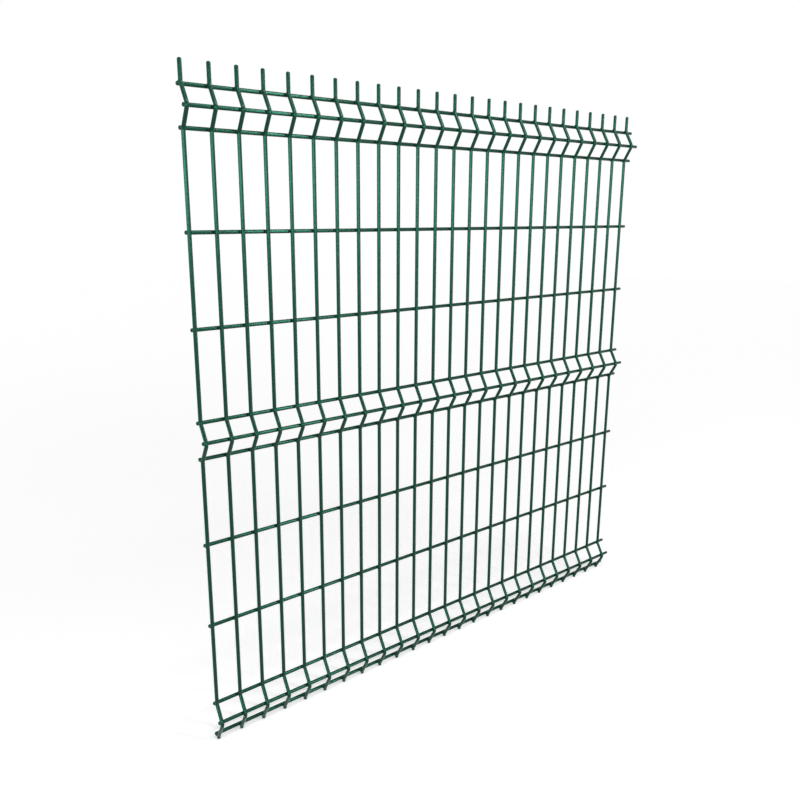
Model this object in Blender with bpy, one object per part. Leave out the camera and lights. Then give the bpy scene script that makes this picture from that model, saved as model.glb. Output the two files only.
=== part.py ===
# Welded mesh fence panel
#
# One free panel of round wires, welded where they cross and pressed into V-shaped folds that
# stiffen it. The uprights run from foot to barb in front; the cross wires lie against their
# backs, one behind each corner of a fold and one at each row of the flat fields between the
# folds. The folds' ridges face -Y, the front. +X is to the right seen from the front, +Z is
# up, and the origin is on the cut foot of the middle upright.

import math

import bmesh
import bpy
from mathutils import Vector

# Driving dimensions, in metres
UPRIGHT_COUNT = 25
UPRIGHT_PITCH = 0.0608
UPRIGHT_DIAMETER = 0.009
CROSS_DIAMETER = 0.009
ROW_PITCH = 0.200
ROWS_PER_FIELD = 3
FOLD_COUNT = 3
FOLD_LEG = 0.050
FOLD_DEPTH = 0.025
FOLD_CLEARANCE = 0.0035
BARB_LENGTH = 0.044
FOOT_LENGTH = 0.007
LEFT_STUB = 0.006
RIGHT_STUB = 0.040
CUT_EDGE = 0.001
WELD_GAP = 0.0003

# How finely round forms are faceted
WIRE_SIDES = 8
BEND_STEP = math.radians(20)
SHARP_ANGLE = math.radians(50)

# Moss green powder coat
COAT_COLOUR = (0.012, 0.085, 0.043, 1.0)
COAT_ROUGHNESS = 0.35

# A bend is round enough for the cross wire that lies inside the ridge
BEND_RADIUS = UPRIGHT_DIAMETER / 2 + CROSS_DIAMETER / 2 + FOLD_CLEARANCE

# A leg is measured along the wire, so a fold rises less than two legs
LEG_RISE = math.sqrt(FOLD_LEG ** 2 - FOLD_DEPTH ** 2)
FOLD_RISE = 2 * LEG_RISE
FIELD_RISE = ROWS_PER_FIELD * ROW_PITCH
WELD_REACH = UPRIGHT_DIAMETER / 2 + WELD_GAP + CROSS_DIAMETER / 2
FIRST_X = -UPRIGHT_PITCH * (UPRIGHT_COUNT // 2)
LAST_X = FIRST_X + UPRIGHT_PITCH * (UPRIGHT_COUNT - 1)

X_AXIS = Vector((1, 0, 0))
BACK = Vector((0, 1, 0))
FOLD_PLACES = ("lower", "ridge", "upper")


def clear_scene():
    """Empty the scene, so that the panel is all it holds."""
    for thing in list(bpy.context.scene.objects):
        bpy.data.objects.remove(thing, do_unlink=True)


def coat_material(name):
    """Glossy powder coat, not metallic itself: the zinc and steel lie under it."""
    material = bpy.data.materials.new(name)
    material.use_nodes = True
    shader = material.node_tree.nodes["Principled BSDF"]
    shader.inputs["Base Color"].default_value = COAT_COLOUR
    shader.inputs["Roughness"].default_value = COAT_ROUGHNESS
    shader.inputs["Metallic"].default_value = 0.0
    return material


def fold_corners(fold):
    """The three sharp corners of a fold, from below; folds are numbered from the ground up."""
    start = FOOT_LENGTH + (fold - 1) * (FOLD_RISE + FIELD_RISE)
    lower = Vector((0, 0, start))
    ridge = Vector((0, -FOLD_DEPTH, start + LEG_RISE))
    upper = Vector((0, 0, start + FOLD_RISE))
    return [lower, ridge, upper]


def upright_corners():
    """An upright's centre line with sharp corners: the foot, every fold, and the barb's tip."""
    corners = [Vector((0, 0, 0))]
    for fold in range(1, FOLD_COUNT + 1):
        corners += fold_corners(fold)
    corners.append(corners[-1] + Vector((0, 0, BARB_LENGTH)))
    return corners


def back_of(direction):
    """The way that faces the panel's back, square to a direction in the YZ plane."""
    return direction.cross(X_AXIS).normalized()


def bend(before, corner, after):
    """The directions into and out of a bend, and the centre that it is pressed round."""
    come = (corner - before).normalized()
    leave = (after - corner).normalized()
    inward = (leave - come).normalized()
    centre = corner + inward * BEND_RADIUS / math.cos(come.angle(leave) / 2)
    return come, leave, centre


def bend_point(come, leave, centre, share):
    """The centre line a share of the way round a bend, and the wire's direction there."""
    direction = come.slerp(leave, share)
    back = back_of(direction)
    side = 1 if back.dot(leave - come) < 0 else -1
    return centre + back * side * BEND_RADIUS, direction


def upright_path():
    """Stations along an upright's centre line, each with the wire's direction there."""
    corners = upright_corners()
    up = (corners[1] - corners[0]).normalized()
    stations = [(corners[0], up)]
    for before, corner, after in zip(corners, corners[1:], corners[2:]):
        come, leave, centre = bend(before, corner, after)
        steps = max(2, round(come.angle(leave) / BEND_STEP))
        for step in range(steps + 1):
            stations.append(bend_point(come, leave, centre, step / steps))
    stations.append((corners[-1], up))
    return stations


def ring(centre, across, through, diameter):
    """One octagonal section, its flats a radius from the centre and one of them facing through."""
    reach = diameter / 2 / math.cos(math.pi / WIRE_SIDES)
    corners = []
    for side in range(WIRE_SIDES):
        angle = (side + 0.5) * 2 * math.pi / WIRE_SIDES
        corners.append(centre + (across * math.sin(angle) + through * math.cos(angle)) * reach)
    return corners


def draw_wire(name, sections):
    """Draw one wire: the first section becomes a face, which is extruded to each of the next."""
    form = bmesh.new()
    first = form.faces.new([form.verts.new(corner) for corner in sections[0]])
    end = first
    for section in sections[1:]:
        grown = bmesh.ops.extrude_face_region(form, geom=[end])["geom"]
        if end is not first:
            bmesh.ops.delete(form, geom=[end], context="FACES_ONLY")
        end = next(part for part in grown if isinstance(part, bmesh.types.BMFace))
        for vert, corner in zip(end.verts, section):
            vert.co = corner
    bmesh.ops.recalc_face_normals(form, faces=form.faces)
    mesh = bpy.data.meshes.new(name)
    form.to_mesh(mesh)
    form.free()
    mesh.shade_smooth()
    mesh.set_sharp_from_angle(angle=SHARP_ANGLE)
    return mesh


def cut_ends(stations, diameter):
    """Add a diameter to each station, with a narrow chamfer where the wire was cut."""
    (start, first_way), (finish, last_way) = stations[0], stations[-1]
    sized = [(start, first_way, diameter - 2 * CUT_EDGE)]
    sized.append((start + first_way * CUT_EDGE, first_way, diameter))
    sized += [(point, way, diameter) for point, way in stations[1:-1]]
    sized.append((finish - last_way * CUT_EDGE, last_way, diameter))
    sized.append((finish, last_way, diameter - 2 * CUT_EDGE))
    return sized


def upright_mesh():
    """The bent wire that every upright shares."""
    sections = []
    for point, way, diameter in cut_ends(upright_path(), UPRIGHT_DIAMETER):
        sections.append(ring(point, X_AXIS, back_of(way), diameter))
    return draw_wire("upright", sections)


def cross_mesh(name, back):
    """A straight wire along X with one flat turned to the upright in front of it."""
    stations = [
        (Vector((FIRST_X - LEFT_STUB, 0, 0)), X_AXIS),
        (Vector((LAST_X + RIGHT_STUB, 0, 0)), X_AXIS),
    ]
    sections = []
    for point, way, diameter in cut_ends(stations, CROSS_DIAMETER):
        sections.append(ring(point, way.cross(back), back, diameter))
    return draw_wire(name, sections)


def fold_welds():
    """Each fold's cross wires: name, point on the uprights' centre line, and the way back."""
    corners = upright_corners()
    bends = list(zip(corners, corners[1:], corners[2:]))
    names = [(fold, place) for fold in range(1, FOLD_COUNT + 1) for place in FOLD_PLACES]
    welds = []
    for (fold, place), bent in zip(names, bends):
        point, direction = bend_point(*bend(*bent), 0.5)
        welds.append((f"fold_{fold}_{place}_wire", point, back_of(direction)))
    return welds


def field_welds():
    """The flat fields' cross wires, one at each row between two folds."""
    welds = []
    for field in range(1, FOLD_COUNT):
        start = fold_corners(field)[-1]
        for row in range(1, ROWS_PER_FIELD):
            point = start + Vector((0, 0, row * ROW_PITCH))
            welds.append((f"field_{field}_row_{row}_wire", point, BACK))
    return welds


def place(name, mesh, location):
    """Put one wire in the scene as an object of its own."""
    wire = bpy.data.objects.new(name, mesh)
    wire.location = location
    bpy.context.scene.collection.objects.link(wire)


def build_uprights():
    """The uprights, numbered from the left."""
    mesh = upright_mesh()
    mesh.materials.append(coat_material("upright_coat"))
    for number in range(UPRIGHT_COUNT):
        place(f"upright_{number + 1:02d}", mesh, (FIRST_X + number * UPRIGHT_PITCH, 0, 0))


def build_cross_wires():
    """The cross wires, folds and fields numbered from the ground up."""
    coat = coat_material("cross_wire_coat")
    for name, point, back in fold_welds() + field_welds():
        mesh = cross_mesh(name, back)
        mesh.materials.append(coat)
        place(name, mesh, point + back * WELD_REACH)


clear_scene()
build_uprights()
build_cross_wires()
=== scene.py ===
# %% [markdown]
# # Dressing a welded mesh fence panel
#
# The real panel is 25 upright wires and 13 cross wires, welded where they cross, pressed into
# three V folds and powder coated moss green. The construction comes in as a fixed frame of
# eight-sided bars. This lesson gives every bar its round section, smooth bends and coat, adds
# the collars of the welds, and then sets a plain studio round the panel.

# %% Load the fixed frame
import math

import bpy
from mathutils import Matrix, Vector


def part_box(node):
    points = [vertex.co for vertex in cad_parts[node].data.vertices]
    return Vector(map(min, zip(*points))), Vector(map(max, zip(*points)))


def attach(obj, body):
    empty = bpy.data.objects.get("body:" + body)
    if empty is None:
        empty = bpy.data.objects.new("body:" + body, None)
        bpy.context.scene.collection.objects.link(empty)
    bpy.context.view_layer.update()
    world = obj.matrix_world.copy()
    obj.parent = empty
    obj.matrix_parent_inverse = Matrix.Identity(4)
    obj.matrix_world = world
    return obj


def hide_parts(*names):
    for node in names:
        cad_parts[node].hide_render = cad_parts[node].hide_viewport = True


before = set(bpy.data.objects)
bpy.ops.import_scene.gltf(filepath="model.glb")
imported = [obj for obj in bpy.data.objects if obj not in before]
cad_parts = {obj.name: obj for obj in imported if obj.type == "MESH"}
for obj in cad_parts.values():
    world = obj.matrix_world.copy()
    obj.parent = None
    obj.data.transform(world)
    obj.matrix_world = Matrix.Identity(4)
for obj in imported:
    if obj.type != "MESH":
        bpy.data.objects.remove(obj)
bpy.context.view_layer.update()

# %% [markdown]
# ## Read the sizes that the frame already knows
#
# A wire's thickness and place could be typed in again, but then two files would have to agree.
# The frame's own boxes give them: an upright's box is as wide in X as the wire is thick, and its
# middle is the wire's place. A straight cross wire's box gives its two ends.

# %% Measure the frame
UPRIGHTS = sorted(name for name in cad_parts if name.startswith("upright_"))
CROSS_WIRES = sorted(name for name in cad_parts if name.endswith("_wire"))


def box_middle(name):
    """The middle of a node's box, in metres."""
    low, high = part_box(name)
    return (low + high) / 2


UPRIGHT_LOW, UPRIGHT_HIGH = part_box(UPRIGHTS[0])
UPRIGHT_DIAMETER = UPRIGHT_HIGH.x - UPRIGHT_LOW.x
FLAT_ROWS = [name for name in CROSS_WIRES if name.startswith("field_")]
ROW_LOW, ROW_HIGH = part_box(FLAT_ROWS[0])
CROSS_DIAMETER = ROW_HIGH.z - ROW_LOW.z
COLUMN_PITCH = box_middle(UPRIGHTS[1]).x - box_middle(UPRIGHTS[0]).x
print(len(UPRIGHTS), "uprights of", round(UPRIGHT_DIAMETER * 1000, 2), "mm at",
      round(COLUMN_PITCH * 1000, 2), "mm,", len(CROSS_WIRES), "cross wires")

# %% [markdown]
# ## Write down how an upright is bent
#
# A box can't say how a wire bends, so these are the press's own sizes. Every fold is two legs of
# 50 mm of wire that lean 25 mm out of the panel's plane, and the punch rounds each corner to a
# radius of 12.5 mm. Between folds lie three rows of 200 mm. The frame gives the lowest and the
# highest point, and so the length of the barb. Its bends are made of flats, so a truly round
# ridge would stand 0.2 mm further out than the frame's. Each ridge is set back a little, so that
# the dressed panel stays inside the frame's box.

# %% Sharp corners of one upright
LEG = 0.050
FOLD_DEPTH = 0.025
RIDGE_SET_BACK = 0.00028
BEND_RADIUS = 0.0125
ROW = 0.200
ROWS_PER_FIELD = 3
FOLD_COUNT = 3
FOOT = 0.007
LEG_RISE = math.sqrt(LEG ** 2 - FOLD_DEPTH ** 2)


def upright_corners():
    """Foot, fold corners and barb tip of an upright in the plane X = 0, from the ground up."""
    corners = [Vector((0, 0, UPRIGHT_LOW.z))]
    height = UPRIGHT_LOW.z + FOOT
    for _ in range(FOLD_COUNT):
        corners.append(Vector((0, 0, height)))
        corners.append(Vector((0, RIDGE_SET_BACK - FOLD_DEPTH, height + LEG_RISE)))
        corners.append(Vector((0, 0, height + 2 * LEG_RISE)))
        height += 2 * LEG_RISE + ROWS_PER_FIELD * ROW
    corners.append(Vector((0, 0, UPRIGHT_HIGH.z)))
    return corners


CORNERS = upright_corners()
print("barb", round((CORNERS[-1].z - CORNERS[-2].z) * 1000, 1), "mm above the top wire's corner")

# %% [markdown]
# ## Helpers for colours and nodes
#
# Colours are written as the hex values that a colour picker shows. Cycles works in linear light,
# so one function turns them round. Another adds a node to any tree with its settings and links,
# so that a tree reads as a list of steps, and it finds each socket with the help of a third.

# %% Colour and node helpers
def linear(hex_colour):
    """An sRGB hex colour such as #20503C as linear red, green, blue and alpha."""
    channels = [int(hex_colour[start:start + 2], 16) / 255 for start in (1, 3, 5)]
    curve = [c / 12.92 if c <= 0.04045 else ((c + 0.055) / 1.055) ** 2.4 for c in channels]
    return (*curve, 1.0)


def socket(sockets, key):
    """A node's socket by identifier, which is unique, or else by the name that it shows."""
    return next((one for one in sockets if one.identifier == key), None) or sockets[key]


def add(tree, kind, inputs=(), **settings):
    """Add a node, set its properties, then fill its inputs with values or with other outputs."""
    node = tree.nodes.new(kind)
    for name, value in settings.items():
        setattr(node, name, value)
    for key, value in dict(inputs).items():
        if isinstance(value, bpy.types.NodeSocket):
            tree.links.new(value, socket(node.inputs, key))
        else:
            socket(node.inputs, key).default_value = value
    return node


print("the picker's middle grey is", round(linear("#808080")[0], 3), "in linear light")

# %% [markdown]
# ## The coat: moss green polyester powder on galvanised wire
#
# Polyester powder is sprayed on and baked, so the coat is a glossy plastic skin with no metal to
# see. It gives the eye three things: a green so deep that most of what shows is the sheen, which
# is tinted teal, a very shallow waviness called orange peel, and patches a little duller than the
# rest. Orange peel runs from 1 to 3 mm across, so it is drawn at its coarse end, 3 mm round the
# wire and 5 mm along it, because anything finer would only sparkle at this distance.

# %% Powder coat
COAT_GREEN = "#0E2C21"
COAT_GREEN_DEEP = "#0B241A"
# The darkest green is painted shade: the weld collars wear it, darker than the wires, for the
# shade between crossing wires.
WELD_PAINTED_SHADE_GREEN = "#081811"
COAT_SHEEN_TINT = "#6AEABE"
COAT_SHEEN = 0.54
POLYESTER_IOR = 1.5
PEEL_WIDTH = 0.003
PEEL_LENGTH = 0.005
PEEL_HEIGHT = 0.000006
PEEL_DETAIL = 2.0
PATCH_SIZE = 0.060
PATCH_DETAIL = 3.0
GLOSSY = 0.17
DULL = 0.27


def powder_coat(name, along, light=COAT_GREEN, deep=COAT_GREEN_DEEP):
    """Glossy moss green coat; along is 0 for a wire that runs in X and 2 for one in Z."""
    material = bpy.data.materials.new(name)
    material.use_nodes = True
    tree = material.node_tree
    shader = tree.nodes["Principled BSDF"]
    shader.inputs["IOR"].default_value = POLYESTER_IOR
    shader.inputs["Metallic"].default_value = 0.0
    shader.inputs["Specular IOR Level"].default_value = COAT_SHEEN
    shader.inputs["Specular Tint"].default_value = linear(COAT_SHEEN_TINT)
    place = add(tree, "ShaderNodeTexCoord").outputs["Object"]
    stretch = [1 / PEEL_WIDTH] * 3
    stretch[along] = 1 / PEEL_LENGTH
    stretched = add(tree, "ShaderNodeMapping", {"Vector": place, "Scale": stretch})
    peel = add(tree, "ShaderNodeTexNoise", {"Vector": stretched.outputs["Vector"],
                                            "Scale": 1.0, "Detail": PEEL_DETAIL})
    patch = add(tree, "ShaderNodeTexNoise", {"Vector": place, "Scale": 1 / PATCH_SIZE,
                                             "Detail": PATCH_DETAIL})
    tone = add(tree, "ShaderNodeMix", {"Factor_Float": patch.outputs["Fac"],
                                       "A_Color": linear(deep), "B_Color": linear(light)},
               data_type="RGBA")
    gloss = add(tree, "ShaderNodeMapRange", {"Value": patch.outputs["Fac"],
                                             "To Min": GLOSSY, "To Max": DULL})
    bump = add(tree, "ShaderNodeBump", {"Height": peel.outputs["Fac"],
                                        "Distance": PEEL_HEIGHT, "Strength": 1.0})
    tree.links.new(socket(tone.outputs, "Result_Color"), shader.inputs["Base Color"])
    tree.links.new(gloss.outputs["Result"], shader.inputs["Roughness"])
    tree.links.new(bump.outputs["Normal"], shader.inputs["Normal"])
    return material


UPRIGHT_COAT = powder_coat("powder_coat_on_uprights", along=2)
CROSS_COAT = powder_coat("powder_coat_on_cross_wires", along=0)
print("coats:", UPRIGHT_COAT.name, "and", CROSS_COAT.name)

# %% [markdown]
# ## One recipe for every wire
#
# All 38 wires are the same thing, a round bar along a line, so one Geometry Nodes tree draws them
# all and takes the sizes as named inputs. It rounds the line's corners as the press does, gives
# the line a radius that shrinks near both ends, because the coat closes over the cut wire in a
# dome, and runs a circle along it. A bevelled curve could do the bar, but not the domed ends.
# Fillet Curve leaves several points on one spot wherever the line doesn't turn, and a bar drawn
# over them has faces with no area and a broken sheen, so points on one place are merged.

# %% The wire tree
WIRE_SIDES = 16
BEND_STEPS = 7
DOME_LENGTH = 0.0030
TIP_FLAT = 0.3
SAME_PLACE = 0.00001


def new_tree(name, inputs):
    """An empty Geometry Nodes tree with named inputs: (name, socket type, value) each."""
    tree = bpy.data.node_groups.new(name, "GeometryNodeTree")
    tree.interface.new_socket("Geometry", in_out="INPUT", socket_type="NodeSocketGeometry")
    tree.interface.new_socket("Geometry", in_out="OUTPUT", socket_type="NodeSocketGeometry")
    for label, kind, value in inputs:
        one = tree.interface.new_socket(label, in_out="INPUT", socket_type=kind)
        if value is not None:
            one.default_value = value
    return tree, add(tree, "NodeGroupInput").outputs


def calculate(tree, operation, first, second=0.0):
    """One Math node's result."""
    return add(tree, "ShaderNodeMath", {0: first, 1: second}, operation=operation).outputs[0]


def finish_tree(tree, shape, material):
    """Realize what is left of instances, give the material and hand the mesh out."""
    real = add(tree, "GeometryNodeRealizeInstances", {"Geometry": shape}).outputs[0]
    coated = add(tree, "GeometryNodeSetMaterial", {"Geometry": real, "Material": material})
    add(tree, "NodeGroupOutput", {"Geometry": coated.outputs[0]})
    return tree


def dome_scale(tree, dome_length, tip_flat):
    """The share of the full radius: 1 along the wire, and down a quarter ellipse at its ends."""
    from_start = add(tree, "GeometryNodeSplineParameter").outputs["Length"]
    length = add(tree, "GeometryNodeSplineLength").outputs["Length"]
    from_finish = calculate(tree, "SUBTRACT", length, from_start)
    from_end = calculate(tree, "MINIMUM", from_start, from_finish)
    climbed = calculate(tree, "DIVIDE", from_end, dome_length)
    climbed = calculate(tree, "MINIMUM", climbed, 1.0)
    still_to_go = calculate(tree, "SUBTRACT", 1.0, climbed)
    drop = calculate(tree, "POWER", still_to_go, 2.0)
    flat = calculate(tree, "POWER", tip_flat, 2.0)
    drop_at_tip = calculate(tree, "SUBTRACT", 1.0, flat)
    lost = calculate(tree, "MULTIPLY", drop, drop_at_tip)
    return calculate(tree, "SQRT", calculate(tree, "SUBTRACT", 1.0, lost))


def wire_tree():
    """A line of edges in, a round coated wire with domed ends out."""
    tree, given = new_tree("round_wire", (
        ("Diameter", "NodeSocketFloat", UPRIGHT_DIAMETER),
        ("Bend Radius", "NodeSocketFloat", BEND_RADIUS),
        ("Bend Steps", "NodeSocketInt", BEND_STEPS),
        ("Dome Length", "NodeSocketFloat", DOME_LENGTH),
        ("Tip Flat", "NodeSocketFloat", TIP_FLAT),
        ("Sides", "NodeSocketInt", WIRE_SIDES),
        ("Coat", "NodeSocketMaterial", None),
    ))
    line = add(tree, "GeometryNodeMeshToCurve", {"Mesh": given["Geometry"]}).outputs[0]
    bent = add(tree, "GeometryNodeFilletCurve", {"Curve": line, "Count": given["Bend Steps"],
                                                 "Radius": given["Bend Radius"]}, mode="POLY")
    dome = dome_scale(tree, given["Dome Length"], given["Tip Flat"])
    radius = calculate(tree, "DIVIDE", given["Diameter"], 2.0)
    circle = add(tree, "GeometryNodeCurvePrimitiveCircle", {"Resolution": given["Sides"],
                                                            "Radius": radius})
    bar = add(tree, "GeometryNodeCurveToMesh", {"Curve": bent.outputs[0], "Scale": dome,
                                                "Profile Curve": circle.outputs[0],
                                                "Fill Caps": True})
    clean = add(tree, "GeometryNodeMergeByDistance", {"Geometry": bar.outputs[0],
                                                      "Distance": SAME_PLACE})
    smooth = add(tree, "GeometryNodeSetShadeSmooth", {"Geometry": clean.outputs[0]})
    return finish_tree(tree, smooth.outputs[0], given["Coat"])


WIRE = wire_tree()
print("tree", WIRE.name, "has", len(WIRE.nodes), "nodes")

# %% [markdown]
# ## The line that a wire follows
#
# Each wire starts as a mesh of bare edges along its middle. The points stand closer over the
# domed ends, to draw the dome, and one stands 10 mm from every corner on each long straight.
# Without it the smooth shading of a bend would run on along the straight, and the straight's
# highlight would bend with it.

# %% Points along a line
GUARD = 0.0100
SHORT_STRAIGHT = 0.0100
DOME_RINGS = 5
DOME_REACHES = [DOME_LENGTH * (1 - math.cos(math.pi / 2 * ring / DOME_RINGS))
                for ring in range(DOME_RINGS + 1)]


def end_points(tip, neighbour):
    """From the tip of a wire inwards: the points of its dome, and one on a long straight."""
    inward = neighbour - tip
    reaches = DOME_REACHES.copy()
    if inward.length > SHORT_STRAIGHT:
        reaches.append(DOME_LENGTH + GUARD)
    return [tip + inward.normalized() * reach for reach in reaches]


def guarded(before, corner, after):
    """A corner with a point on each long straight beside it, where the shading has settled."""
    points = [corner]
    if (before - corner).length > SHORT_STRAIGHT:
        points.insert(0, corner + (before - corner).normalized() * GUARD)
    if (after - corner).length > SHORT_STRAIGHT:
        points.append(corner + (after - corner).normalized() * GUARD)
    return points


def line_mesh(name, points):
    """A mesh of edges through the points, with more points at domed ends and at corners."""
    whole = end_points(points[0], points[1])
    for before, corner, after in zip(points, points[1:], points[2:]):
        whole += guarded(before, corner, after)
    whole += reversed(end_points(points[-1], points[-2]))
    mesh = bpy.data.meshes.new(name)
    mesh.from_pydata(whole, [(i, i + 1) for i in range(len(whole) - 1)], [])
    return mesh


print("points over a dome, in mm:", [round(reach * 1000, 2) for reach in DOME_REACHES])

# %% [markdown]
# ## From a line to a piece of the panel
#
# A modifier's inputs are set by the socket's identifier, because two sockets may share a name.
# The result is then taken as a mesh of its own and the modifier goes, so that the piece holds
# just what was drawn. Last, the piece is parented to the body that it rides on, and the frame's
# node that it is drawn over is hidden.

# %% Run a tree and settle the piece
BODY = "root"


def grow(name, mesh, tree, **inputs):
    """A new object: the mesh with the tree run on it, settled as a plain mesh."""
    thing = bpy.data.objects.new(name, mesh)
    bpy.context.scene.collection.objects.link(thing)
    modifier = thing.modifiers.new("tree", "NODES")
    modifier.node_group = tree
    for item in tree.interface.items_tree:
        label = item.name.lower().replace(" ", "_")
        if item.in_out == "INPUT" and label in inputs:
            modifier[item.identifier] = inputs[label]
    evaluated = thing.evaluated_get(bpy.context.evaluated_depsgraph_get())
    settled = bpy.data.meshes.new_from_object(evaluated)
    settled.name = name
    thing.modifiers.clear()
    thing.data = settled
    return thing


def dress(piece, node):
    """The piece rides on the panel's one body, and the frame's node is hidden."""
    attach(piece, BODY)
    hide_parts(node)


print("every piece rides on", BODY)

# %% [markdown]
# ## The uprights
#
# Every upright follows the same line, moved along X to its own column. The wires stay separate
# objects, as the real ones are before they are welded.

# %% Draw the uprights
def column_of(name):
    """An upright's place in X."""
    return Vector((box_middle(name).x, 0, 0))


for node in UPRIGHTS:
    points = [corner + column_of(node) for corner in CORNERS]
    wire = grow(node.replace("upright", "upright_wire"), line_mesh(node, points), WIRE,
                diameter=UPRIGHT_DIAMETER, bend_steps=BEND_STEPS, coat=UPRIGHT_COAT)
    dress(wire, node)
print(len(UPRIGHTS), "uprights,", len(wire.data.polygons), "faces each")

# %% [markdown]
# ## The cross wires
#
# A cross wire is a straight bar on the middle of its own box, so the frame alone gives its line.
# It has nothing to bend, so the tree gets its smallest number of bend steps, which is 1.

for node in CROSS_WIRES:
    low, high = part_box(node)
    middle = box_middle(node)
    ends = [Vector((low.x, middle.y, middle.z)), Vector((high.x, middle.y, middle.z))]
    wire = grow(node.replace("_wire", "_cross_wire"), line_mesh(node, ends), WIRE,
                diameter=CROSS_DIAMETER, bend_steps=1, coat=CROSS_COAT)
    dress(wire, node)
print(len(CROSS_WIRES), "cross wires,", len(wire.data.polygons), "faces each")

# %% [markdown]
# ## The welds
#
# Each crossing is squeezed between two electrodes until the wires melt together, and a flat
# collar of metal is pressed out between them. Then the powder pools round it. The collars are
# 325 small spheres squashed against the contact, and no two are quite alike, so a second tree
# puts one on each point of a row and varies its size from a fixed seed. Each is mostly hidden
# between its wires, so a few faces are enough for the rim that shows. Their coat is drawn darker
# than the wires' as painted shade, the shade that falls between two crossing wires.

# %% The weld tree
COLLAR_RADIUS = 0.0052
COLLAR_DEPTH = 0.0031
COLLAR_SPREAD = 0.07
COLLAR_SEGMENTS = 9
COLLAR_RINGS = 5


def weld_tree():
    """Points in, one squashed and slightly uneven collar on each out."""
    tree, given = new_tree("weld_row", (
        ("Radius", "NodeSocketFloat", COLLAR_RADIUS),
        ("Depth", "NodeSocketFloat", COLLAR_DEPTH),
        ("Spread", "NodeSocketFloat", COLLAR_SPREAD),
        ("Lean", "NodeSocketFloat", 0.0),
        ("Seed", "NodeSocketInt", 1),
        ("Coat", "NodeSocketMaterial", None),
    ))
    ball = add(tree, "GeometryNodeMeshUVSphere", {"Segments": COLLAR_SEGMENTS,
                                                  "Rings": COLLAR_RINGS, "Radius": 1.0})
    smooth = add(tree, "GeometryNodeSetShadeSmooth", {"Geometry": ball.outputs["Mesh"]})
    size = add(tree, "ShaderNodeCombineXYZ", {"X": given["Radius"], "Y": given["Depth"],
                                              "Z": given["Radius"]})
    least = calculate(tree, "SUBTRACT", 1.0, given["Spread"])
    most = calculate(tree, "ADD", 1.0, given["Spread"])
    uneven = add(tree, "FunctionNodeRandomValue", {"Seed": given["Seed"]},
                 data_type="FLOAT_VECTOR")
    for label, limit in (("Min", least), ("Max", most)):
        tree.links.new(limit, uneven.inputs[label])
    scale = add(tree, "ShaderNodeVectorMath", {0: size.outputs[0], 1: uneven.outputs["Value"]},
                operation="MULTIPLY")
    lean = add(tree, "ShaderNodeCombineXYZ", {"X": given["Lean"]})
    turn = add(tree, "FunctionNodeEulerToRotation", {"Euler": lean.outputs[0]})
    collars = add(tree, "GeometryNodeInstanceOnPoints", {
        "Points": given["Geometry"], "Instance": smooth.outputs[0],
        "Rotation": turn.outputs[0], "Scale": scale.outputs[0]})
    return finish_tree(tree, collars.outputs[0], given["Coat"])


WELDS = weld_tree()
# The welds' coat runs from the deep green to the darkest one: painted shade between the crossing
# wires.
WELD_COAT_WITH_PAINTED_SHADE = powder_coat("pooled_coat_on_welds", 0, COAT_GREEN_DEEP, WELD_PAINTED_SHADE_GREEN)
print("tree", WELDS.name, "has", len(WELDS.nodes), "nodes")

# %% [markdown]
# ## Where each row of welds lies
#
# The points lie where the upright's back meets the cross wire. At a fold that is half way round
# the bend, so the row leans with it.

# %% Draw the rows of welds
WELD_GAP = 0.0003
FOLD_PLACES = ("lower", "ridge", "upper")


def fold_weld(corner):
    """The upright's middle half way round a bend, and the way from there to the cross wire."""
    before, here, after = CORNERS[corner - 1:corner + 2]
    come, leave = (here - before).normalized(), (after - here).normalized()
    inward = (leave - come).normalized()
    middle = here + inward * BEND_RADIUS * (1 / math.cos(come.angle(leave) / 2) - 1)
    return middle, inward if inward.y > 0 else -inward


def weld_row(node):
    """The upright's middle behind which a cross wire is welded, and the way to that wire."""
    kind, number, place = node.split("_")[:3]
    if kind == "field":
        return Vector((0, 0, box_middle(node).z)), Vector((0, 1, 0))
    folds_below = int(number) - 1
    return fold_weld(1 + folds_below * len(FOLD_PLACES) + FOLD_PLACES.index(place))


for seed, node in enumerate(CROSS_WIRES):
    middle, back = weld_row(node)
    contact = middle + back * (UPRIGHT_DIAMETER + WELD_GAP) / 2
    points = bpy.data.meshes.new(node)
    points.from_pydata([contact + column_of(upright) for upright in UPRIGHTS], [], [])
    collars = grow(node.replace("_wire", "_welds"), points, WELDS,
                   radius=COLLAR_RADIUS, depth=COLLAR_DEPTH, spread=COLLAR_SPREAD,
                   lean=math.atan2(back.z, back.y), seed=seed, coat=WELD_COAT_WITH_PAINTED_SHADE)
    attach(collars, BODY)
print(len(CROSS_WIRES), "rows of welds,", len(collars.data.polygons), "faces each")

# %% [markdown]
# ## A pale floor that keeps the shadow
#
# The floor is a flat disc at the height of the feet. It shows the camera, and what mirrors it,
# a share of plain white on top of its lit paper, so it reads as white. The lamps light it most
# round the panel, so the share is smaller there: the sum stays near 1, and the faint shadow with
# it. The light falls off about as 1 / (1 + (distance / reach) squared), and the share follows.

# %% Floor
FLOOR_RADIUS = 14.0
FLOOR_CORNERS = 96
FLOOR_PAPER = "#F0F0F0"
FLOOR_GLOW = 0.835
FLOOR_GLOW_DIP = 0.33
LIT_REACH = 3.0


def white_to_the_eye(tree):
    """1 for camera, mirror and see-through rays, 0 for the rays that light the panel."""
    path = add(tree, "ShaderNodeLightPath").outputs
    seen = calculate(tree, "MAXIMUM", path["Is Camera Ray"], path["Is Glossy Ray"])
    return calculate(tree, "MAXIMUM", seen, path["Is Transmission Ray"])


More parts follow.
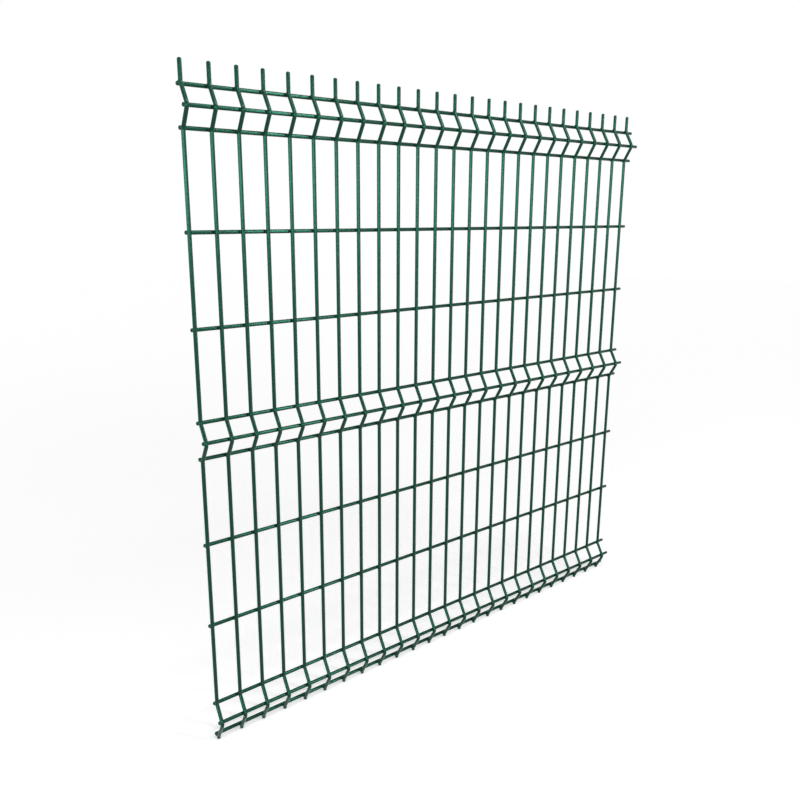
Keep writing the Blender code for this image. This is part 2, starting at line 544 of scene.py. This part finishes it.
def floor_glow(tree):
    """The share of plain white at each place of the floor."""
    place = add(tree, "ShaderNodeTexCoord").outputs["Object"]
    away = add(tree, "ShaderNodeVectorMath", {0: place}, operation="LENGTH").outputs["Value"]
    spread = calculate(tree, "POWER", calculate(tree, "DIVIDE", away, LIT_REACH), 2.0)
    dip = calculate(tree, "DIVIDE", FLOOR_GLOW_DIP, calculate(tree, "ADD", spread, 1.0))
    return calculate(tree, "SUBTRACT", FLOOR_GLOW, dip)


def floor_material():
    """Matt white paper with a white glow for the eye only."""
    material = bpy.data.materials.new("paper_floor")
    material.use_nodes = True
    tree = material.node_tree
    paper = tree.nodes["Principled BSDF"]
    paper.inputs["Base Color"].default_value = linear(FLOOR_PAPER)
    paper.inputs["Roughness"].default_value = 1.0
    paper.inputs["Specular IOR Level"].default_value = 0.0
    glow = calculate(tree, "MULTIPLY", white_to_the_eye(tree), floor_glow(tree))
    white = add(tree, "ShaderNodeEmission", {"Strength": glow})
    both = add(tree, "ShaderNodeAddShader", {0: paper.outputs[0], 1: white.outputs[0]})
    tree.links.new(both.outputs[0], tree.nodes["Material Output"].inputs["Surface"])
    return material


def floor_disc():
    """A flat round sheet that faces up, at the height of the feet."""
    turns = [2 * math.pi * corner / FLOOR_CORNERS for corner in range(FLOOR_CORNERS)]
    rim = [(FLOOR_RADIUS * math.cos(turn), FLOOR_RADIUS * math.sin(turn), UPRIGHT_LOW.z)
           for turn in turns]
    mesh = bpy.data.meshes.new("floor")
    mesh.from_pydata(rim, [], [list(range(FLOOR_CORNERS))])
    mesh.materials.append(floor_material())
    sheet = bpy.data.objects.new("floor", mesh)
    bpy.context.scene.collection.objects.link(sheet)
    return sheet


floor_disc()
print("the floor reaches", FLOOR_RADIUS, "m from the middle upright's foot")

# %% [markdown]
# ## Soft studio light
#
# A pale world stands for a light tent, and long strip lamps model the wires. A round wire mirrors
# a lamp only where the angles agree. On an upright the lamp has to be as high as the eye's own
# line rises, so two strips that lie far behind the camera and to its left, at the height of the
# top row, bring out that row alone. The longer they are, the wider is the stroke of light on the
# wire. On a cross wire the lamp has to be as far to the right as the eye's line goes, so three
# strips stand at the front right, one above the other on a curve that keeps this angle for every
# row, and bring out the cross wires near the left. The last one hangs in front of the panel's
# top left corner. It is near, so the top fold gets more of its light than the folds below.

# %% World and lamps
WORLD_LEVEL = 0.18
LAMPS_FACE = Vector((0, 0, 0.8))


def studio_world():
    """White to the eye, and a plain grey level for everything that it lights."""
    world = bpy.data.worlds.new("light_tent")
    world.use_nodes = True
    tree = world.node_tree
    tree.nodes.clear()
    seen = white_to_the_eye(tree)
    level = add(tree, "ShaderNodeMapRange", {"Value": seen, "To Min": WORLD_LEVEL, "To Max": 1.0})
    white = add(tree, "ShaderNodeBackground", {"Color": linear("#FFFFFF"),
                                               "Strength": level.outputs["Result"]})
    add(tree, "ShaderNodeOutputWorld", {"Surface": white.outputs[0]})
    bpy.context.scene.world = world


def strip_lamp(name, start, finish, width, watts):
    """A long area lamp between two points, turned about its length to face the panel."""
    start, finish = Vector(start), Vector(finish)
    middle = (start + finish) / 2
    along = (finish - start).normalized()
    back = middle - LAMPS_FACE
    back = (back - along * back.dot(along)).normalized()
    light = bpy.data.lights.new(name, "AREA")
    light.shape = "RECTANGLE"
    light.size, light.size_y = (finish - start).length, width
    light.energy = watts
    lamp = bpy.data.objects.new(name, light)
    lamp.rotation_euler = Matrix((along, back.cross(along), back)).transposed().to_euler()
    lamp.location = middle
    bpy.context.scene.collection.objects.link(lamp)


studio_world()
strip_lamp("far_lying_strip", (-14.2, -1.4, 1.75), (-1.4, -14.2, 1.75), 1.0, 750)
strip_lamp("far_left_strip", (-16.0, 8.0, 1.75), (-14.2, -1.4, 1.75), 1.0, 390)
strip_lamp("standing_strip_low", (1.02, -2.45, 0.1), (0.82, -2.20, 1.3), 0.2, 14)
strip_lamp("standing_strip_middle", (0.75, -2.10, 1.7), (1.37, -2.66, 3.1), 0.2, 34)
strip_lamp("standing_strip_high", (1.37, -2.66, 3.1), (1.91, -2.55, 4.5), 0.2, 38)
strip_lamp("top_strip", (-1.9, -0.8, 2.5), (0.3, -0.8, 2.5), 0.25, 19)
bpy.context.scene.view_settings.view_transform = "Standard"
print(len(bpy.data.lights), "strip lamps, and a world at", WORLD_LEVEL)

# %% [markdown]
# ## The camera
#
# The camera stands a little left of the panel, at the height of its upper rows, and looks to the
# right and slightly down, with a moderately wide lens. Its three angles are turned one after the
# other, in the order in which a tripod head is set: turn, tilt, then roll about the lens.

# %% Camera
CAMERA_PLACE = (-1.4169, -1.5075, 1.2239)
CAMERA_TURN = math.radians(39.49)
CAMERA_TILT = math.radians(13.71)
CAMERA_ROLL = math.radians(0.26)
CAMERA_LENS = 34.78
CAMERA_SENSOR = 36.0

view = bpy.data.cameras.new("camera")
view.lens = CAMERA_LENS
view.sensor_width = CAMERA_SENSOR
camera = bpy.data.objects.new("camera", view)
camera.location = CAMERA_PLACE
turned = Matrix.Rotation(-CAMERA_TURN, 3, "Z")
tilted = turned @ Matrix.Rotation(math.pi / 2 - CAMERA_TILT, 3, "X")
camera.rotation_euler = (tilted @ Matrix.Rotation(CAMERA_ROLL, 3, "Z")).to_euler()
bpy.context.scene.collection.objects.link(camera)
bpy.context.scene.camera = camera
print("the camera stands at", CAMERA_PLACE, "m, with a lens of", CAMERA_LENS, "mm")
